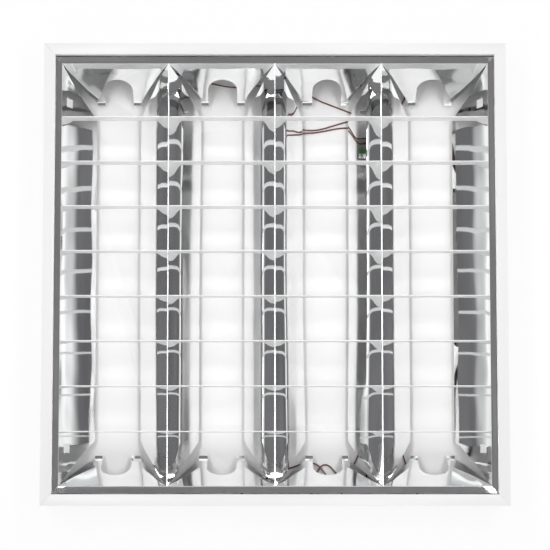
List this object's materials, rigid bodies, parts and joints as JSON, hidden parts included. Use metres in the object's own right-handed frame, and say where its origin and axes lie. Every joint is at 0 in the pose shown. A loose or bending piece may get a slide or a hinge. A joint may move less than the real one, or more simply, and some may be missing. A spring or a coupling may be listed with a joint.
{
  "type": "surface-mounted fluorescent light",
  "caption": "Square white ceiling light for short fluorescent tubes, with a mirror louvre of folded reflectors and cross blades that swings open from a recessed rim.",
  "frame": {"origin": "centre of the back, on the face that meets the ceiling", "axes": "+Z out of the mounting face towards the room, +Y along the tubes, +X across the lanes"},
  "size_m": [0.62, 0.62, 0.081],
  "materials": {
    "white_enamel": "satin",
    "mirror_aluminium": "gloss",
    "satin_aluminium": "satin",
    "white_plastic": "matte",
    "rotor_plastic": "matte",
    "zinc_steel": "satin",
    "bright_steel": "satin",
    "contact_bronze": "satin",
    "gear_enamel": "satin",
    "board_green": "matte",
    "dark_plastic": "matte",
    "black_rubber": "matte",
    "brown_wire": "gloss",
    "earth_wire": "gloss"
  },
  "bodies": {
    "case": {"tray": "white_enamel", "end_cap_top": "white_enamel", "end_cap_bottom": "white_enamel", "holder_bracket_top": "zinc_steel", "holder_bracket_bottom": "zinc_steel", "lampholder_top_1": "white_plastic", "lampholder_top_2": "white_plastic", "lampholder_top_3": "white_plastic", "lampholder_top_4": "white_plastic", "lampholder_bottom_1": "white_plastic", "lampholder_bottom_2": "white_plastic", "lampholder_bottom_3": "white_plastic", "lampholder_bottom_4": "white_plastic", "lamp_contacts": "contact_bronze", "ballast_base": "zinc_steel", "ballast_cover": "gear_enamel", "ballast_board": "board_green", "ballast_parts": "dark_plastic", "ballast_terminals": "white_plastic", "terminal_block": "white_plastic", "terminal_screws": "bright_steel", "earth_stud": "bright_steel", "cable_bush": "black_rubber", "case_screws": "bright_steel", "hinge_brackets": "zinc_steel", "latch_springs": "zinc_steel", "supply_wires": "brown_wire", "earth_wire": "earth_wire", "lamp_wires_top": "brown_wire", "lamp_wires_bottom": "brown_wire"},
    "louvre": {"louvre_rail_left": "mirror_aluminium", "louvre_rail_right": "mirror_aluminium", "louvre_rail_top": "mirror_aluminium", "louvre_rail_bottom": "mirror_aluminium", "side_reflector_left": "mirror_aluminium", "side_reflector_right": "mirror_aluminium", "v_reflector_1": "mirror_aluminium", "v_reflector_2": "mirror_aluminium", "v_reflector_3": "mirror_aluminium", "end_plates_top": "mirror_aluminium", "end_plates_bottom": "mirror_aluminium", "cross_blade_1": "satin_aluminium", "cross_blade_2": "satin_aluminium", "cross_blade_3": "satin_aluminium", "cross_blade_4": "satin_aluminium", "cross_blade_5": "satin_aluminium", "cross_blade_6": "satin_aluminium", "cross_blade_7": "satin_aluminium", "cross_blade_8": "satin_aluminium", "hinge_clips": "zinc_steel", "latch_catches": "zinc_steel", "clip_plugs": "white_plastic"},
    "rotor_top_1": {"rotor_top_1": "rotor_plastic"},
    "rotor_top_2": {"rotor_top_2": "rotor_plastic"},
    "rotor_top_3": {"rotor_top_3": "rotor_plastic"},
    "rotor_top_4": {"rotor_top_4": "rotor_plastic"},
    "rotor_bottom_1": {"rotor_bottom_1": "rotor_plastic"},
    "rotor_bottom_2": {"rotor_bottom_2": "rotor_plastic"},
    "rotor_bottom_3": {"rotor_bottom_3": "rotor_plastic"},
    "rotor_bottom_4": {"rotor_bottom_4": "rotor_plastic"}
  },
  "joints": [
    {"name": "louvre_hinge", "type": "hinge", "parent": "case", "child": "louvre", "pos_m": [-0.2896, 0, 0.068], "axis": [0, -1, 0], "range_deg": [0, 90]},
    {"name": "rotor_top_1_turn", "type": "hinge", "parent": "case", "child": "rotor_top_1", "pos_m": [-0.21488, 0.2954, 0.031], "axis": [0, 1, 0], "range_deg": [0, 90]},
    {"name": "rotor_top_2_turn", "type": "hinge", "parent": "case", "child": "rotor_top_2", "pos_m": [-0.07162, 0.2954, 0.031], "axis": [0, 1, 0], "range_deg": [0, 90]},
    {"name": "rotor_top_3_turn", "type": "hinge", "parent": "case", "child": "rotor_top_3", "pos_m": [0.07162, 0.2954, 0.031], "axis": [0, 1, 0], "range_deg": [0, 90]},
    {"name": "rotor_top_4_turn", "type": "hinge", "parent": "case", "child": "rotor_top_4", "pos_m": [0.21488, 0.2954, 0.031], "axis": [0, 1, 0], "range_deg": [0, 90]},
    {"name": "rotor_bottom_1_turn", "type": "hinge", "parent": "case", "child": "rotor_bottom_1", "pos_m": [-0.21488, -0.2954, 0.031], "axis": [0, -1, 0], "range_deg": [0, 90]},
    {"name": "rotor_bottom_2_turn", "type": "hinge", "parent": "case", "child": "rotor_bottom_2", "pos_m": [-0.07162, -0.2954, 0.031], "axis": [0, -1, 0], "range_deg": [0, 90]},
    {"name": "rotor_bottom_3_turn", "type": "hinge", "parent": "case", "child": "rotor_bottom_3", "pos_m": [0.07162, -0.2954, 0.031], "axis": [0, -1, 0], "range_deg": [0, 90]},
    {"name": "rotor_bottom_4_turn", "type": "hinge", "parent": "case", "child": "rotor_bottom_4", "pos_m": [0.21488, -0.2954, 0.031], "axis": [0, -1, 0], "range_deg": [0, 90]}
  ]
}
